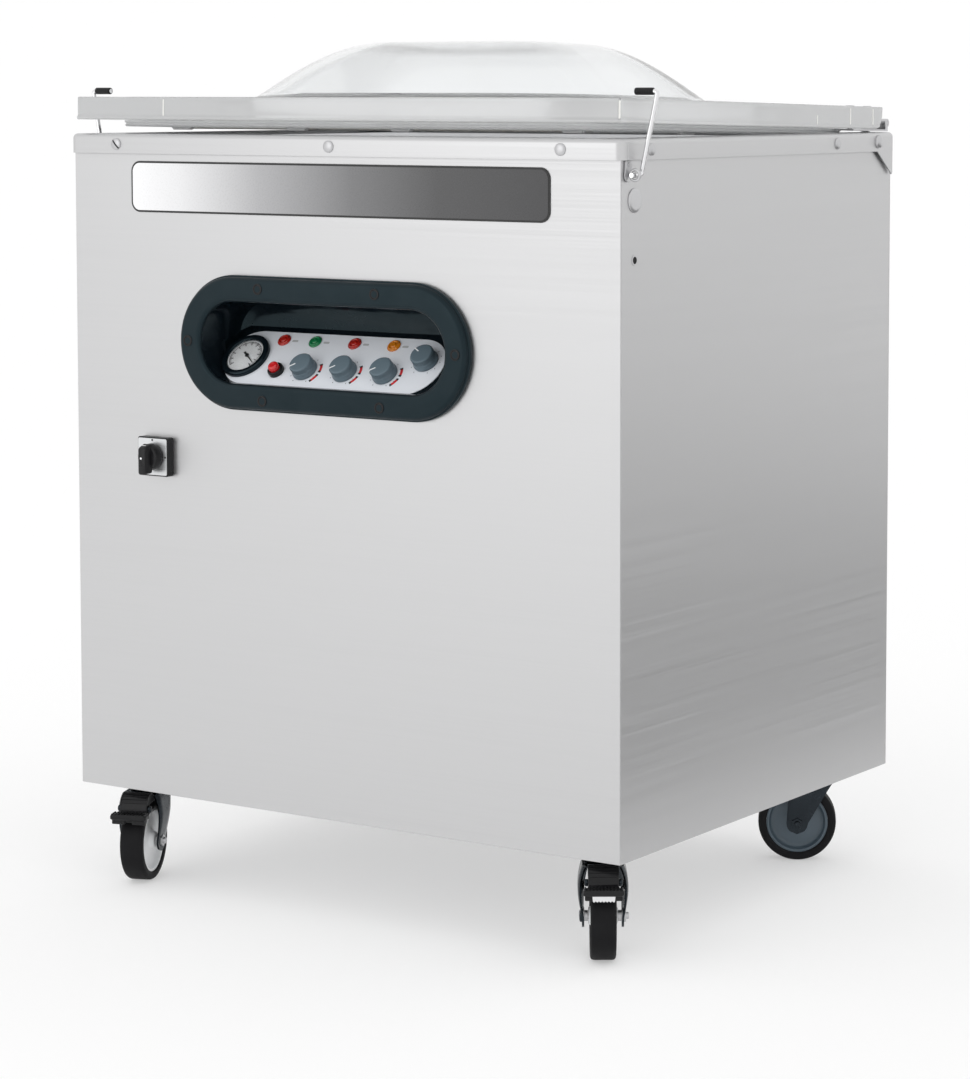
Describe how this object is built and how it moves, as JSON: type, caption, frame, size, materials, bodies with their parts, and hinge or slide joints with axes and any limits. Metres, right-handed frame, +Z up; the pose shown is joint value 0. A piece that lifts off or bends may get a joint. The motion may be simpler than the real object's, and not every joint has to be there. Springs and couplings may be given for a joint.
{
  "type": "chamber vacuum packing machine",
  "caption": "Floor-standing chamber vacuum packer: steel cabinet on swivel casters, hinged clear domed lid, recessed sloping control panel, side latches.",
  "frame": {"origin": "on the floor, under the middle of the overall width and depth", "axes": "+X to the right seen from the front, +Y to the rear, +Z up; the control panel faces -Y"},
  "size_m": [0.8636, 0.701, 1.0503],
  "materials": {
    "stainless": "satin",
    "black_plastic": "fine grain",
    "clear_acrylic": "clear polished",
    "silicone": "matte",
    "white_silicone": "matte",
    "polyethylene": "matte",
    "printed_film": "satin, light to dark from left to right",
    "pump_casting": "painted casting",
    "motor_paint": "satin",
    "circuit_board": "lacquered",
    "silver_fascia": "satin film",
    "red_lens": "moulded",
    "green_lens": "moulded",
    "amber_lens": "moulded",
    "red_button": "polished",
    "grey_knob": "fine grain",
    "switch_body": "satin",
    "bar_aluminium": "extruded",
    "zinc_wire": "bright",
    "grip_rubber": "matte",
    "zinc_steel": "zinc plated, dark",
    "hub_grey": "moulded grey",
    "tyre_rubber": "matte",
    "pedal_plastic": "satin"
  },
  "bodies": {
    "cabinet": {"base_tray": "stainless", "front_panel": "stainless", "left_panel": "stainless", "right_panel": "stainless", "rear_panel": "stainless", "top_cover": "stainless", "chamber_tub": "stainless", "filler_plate": "polyethylene", "nameplate": "printed_film", "hinge_bracket_left": "stainless", "hinge_bracket_right": "stainless", "power_inlet": "black_plastic", "vacuum_pump": "pump_casting", "pump_motor": "motor_paint", "control_board": "circuit_board", "control_bezel": "black_plastic", "control_panel": "silver_fascia", "gauge_case": "black_plastic", "lamp_1_red": "red_lens", "lamp_2_green": "green_lens", "lamp_3_red": "red_lens", "lamp_4_amber": "amber_lens", "switch_plate": "switch_body", "latch_eye_left": "stainless", "latch_eye_right": "stainless", "caster_plate_front_left": "zinc_steel", "caster_plate_front_right": "zinc_steel", "caster_plate_rear_left": "zinc_steel", "caster_plate_rear_right": "zinc_steel"},
    "lid": {"lid": "clear_acrylic", "lid_seal": "silicone", "counter_bar": "white_silicone", "hinge_leaf_left": "stainless", "hinge_leaf_right": "stainless"},
    "sealing_bar": {"sealing_bar": "bar_aluminium"},
    "gauge_needle": {"gauge_needle": "black_plastic"},
    "stop_button": {"stop_button": "red_button"},
    "main_switch": {"switch_knob": "black_plastic"},
    "latch_left": {"latch_wire_left": "zinc_wire", "latch_grip_left": "grip_rubber"},
    "latch_right": {"latch_wire_right": "zinc_wire", "latch_grip_right": "grip_rubber"},
    "knob_1": {"knob_1": "grey_knob"},
    "knob_2": {"knob_2": "grey_knob"},
    "knob_3": {"knob_3": "grey_knob"},
    "knob_4": {"knob_4": "grey_knob"},
    "swivel_front_left": {"caster_fork_front_left": "zinc_steel"},
    "wheel_front_left": {"caster_wheel_front_left": "hub_grey", "caster_tyre_front_left": "tyre_rubber"},
    "swivel_front_right": {"caster_fork_front_right": "zinc_steel"},
    "wheel_front_right": {"caster_wheel_front_right": "hub_grey", "caster_tyre_front_right": "tyre_rubber"},
    "swivel_rear_left": {"caster_fork_rear_left": "zinc_steel"},
    "wheel_rear_left": {"caster_wheel_rear_left": "hub_grey", "caster_tyre_rear_left": "tyre_rubber"},
    "swivel_rear_right": {"caster_fork_rear_right": "zinc_steel"},
    "wheel_rear_right": {"caster_wheel_rear_right": "hub_grey", "caster_tyre_rear_right": "tyre_rubber"},
    "pedal_front_left": {"brake_pedal_front_left": "pedal_plastic"},
    "pedal_front_right": {"brake_pedal_front_right": "pedal_plastic"}
  },
  "joints": [
    {"name": "lid_hinge", "type": "hinge", "parent": "cabinet", "child": "lid", "pos_m": [0, 0.33573, 0.9485], "axis": [-1, 0, 0], "range_deg": [-1.2, 60]},
    {"name": "sealing_bar_lift", "type": "slide", "parent": "cabinet", "child": "sealing_bar", "axis": [0, 0, 1], "range_m": [0, 0.008]},
    {"name": "gauge_needle_turn", "type": "hinge", "parent": "cabinet", "child": "gauge_needle", "pos_m": [-0.153, -0.28691, 0.66938], "axis": [0, -0.7071, 0.7071], "range_deg": [0, 270]},
    {"name": "stop_button_press", "type": "slide", "parent": "cabinet", "child": "stop_button", "axis": [0, 0.7071, -0.7071], "range_m": [0, 0.003], "stiffness_N_per_m": 300},
    {"name": "knob_1_turn", "type": "hinge", "parent": "cabinet", "child": "knob_1", "pos_m": [-0.0575, -0.29526, 0.65637], "axis": [0, 0.7071, -0.7071], "range_deg": [-26, 274]},
    {"name": "knob_2_turn", "type": "hinge", "parent": "cabinet", "child": "knob_2", "pos_m": [0.0015, -0.29483, 0.65679], "axis": [0, 0.7071, -0.7071], "range_deg": [-26, 274]},
    {"name": "knob_3_turn", "type": "hinge", "parent": "cabinet", "child": "knob_3", "pos_m": [0.0605, -0.29455, 0.65707], "axis": [0, 0.7071, -0.7071], "range_deg": [-26, 274]},
    {"name": "knob_4_turn", "type": "hinge", "parent": "cabinet", "child": "knob_4", "pos_m": [0.1083, -0.27843, 0.6732], "axis": [0, 0.7071, -0.7071], "range_deg": [-90, 210]},
    {"name": "main_switch_turn", "type": "hinge", "parent": "cabinet", "child": "main_switch", "pos_m": [-0.27, -0.32757, 0.542], "axis": [0, 1, 0], "range_deg": [0, 90]},
    {"name": "latch_left_swing", "type": "hinge", "parent": "cabinet", "child": "latch_left", "pos_m": [-0.4105, -0.25457, 0.8966], "axis": [0, -1, 0], "range_deg": [-8, 150]},
    {"name": "latch_right_swing", "type": "hinge", "parent": "cabinet", "child": "latch_right", "pos_m": [0.4105, -0.30257, 0.8966], "axis": [0, 1, 0], "range_deg": [-8, 150]},
    {"name": "swivel_front_left_turn", "type": "hinge", "parent": "cabinet", "child": "swivel_front_left", "pos_m": [-0.336, -0.25827, 0.11], "axis": [0, 0, 1], "continuous": true},
    {"name": "wheel_front_left_roll", "type": "hinge", "parent": "swivel_front_left", "child": "wheel_front_left", "pos_m": [-0.32525, -0.28628, 0.05], "axis": [0.9336, 0.3584, 0], "continuous": true},
    {"name": "pedal_front_left_press", "type": "hinge", "parent": "swivel_front_left", "child": "pedal_front_left", "pos_m": [-0.32202, -0.29468, 0.1045], "axis": [0.9336, 0.3584, 0], "range_deg": [0, 9]},
    {"name": "swivel_front_right_turn", "type": "hinge", "parent": "cabinet", "child": "swivel_front_right", "pos_m": [0.3405, -0.25827, 0.11], "axis": [0, 0, 1], "continuous": true},
    {"name": "wheel_front_right_roll", "type": "hinge", "parent": "swivel_front_right", "child": "wheel_front_right", "pos_m": [0.35706, -0.28329, 0.05], "axis": [0.8339, 0.5519, 0], "continuous": true},
    {"name": "pedal_front_right_press", "type": "hinge", "parent": "swivel_front_right", "child": "pedal_front_right", "pos_m": [0.36203, -0.29079, 0.1045], "axis": [0.8339, 0.5519, 0], "range_deg": [0, 9]},
    {"name": "swivel_rear_left_turn", "type": "hinge", "parent": "cabinet", "child": "swivel_rear_left", "pos_m": [-0.338, 0.27223, 0.11], "axis": [0, 0, 1], "continuous": true},
    {"name": "wheel_rear_left_roll", "type": "hinge", "parent": "swivel_rear_left", "child": "wheel_rear_left", "pos_m": [-0.35728, 0.24925, 0.05], "axis": [0.766, -0.6428, 0], "continuous": true},
    {"name": "swivel_rear_right_turn", "type": "hinge", "parent": "cabinet", "child": "swivel_rear_right", "pos_m": [0.338, 0.27223, 0.11], "axis": [0, 0, 1], "continuous": true},
    {"name": "wheel_rear_right_roll", "type": "hinge", "parent": "swivel_rear_right", "child": "wheel_rear_right", "pos_m": [0.31176, 0.25769, 0.05], "axis": [0.4848, -0.8746, 0], "continuous": true}
  ]
}
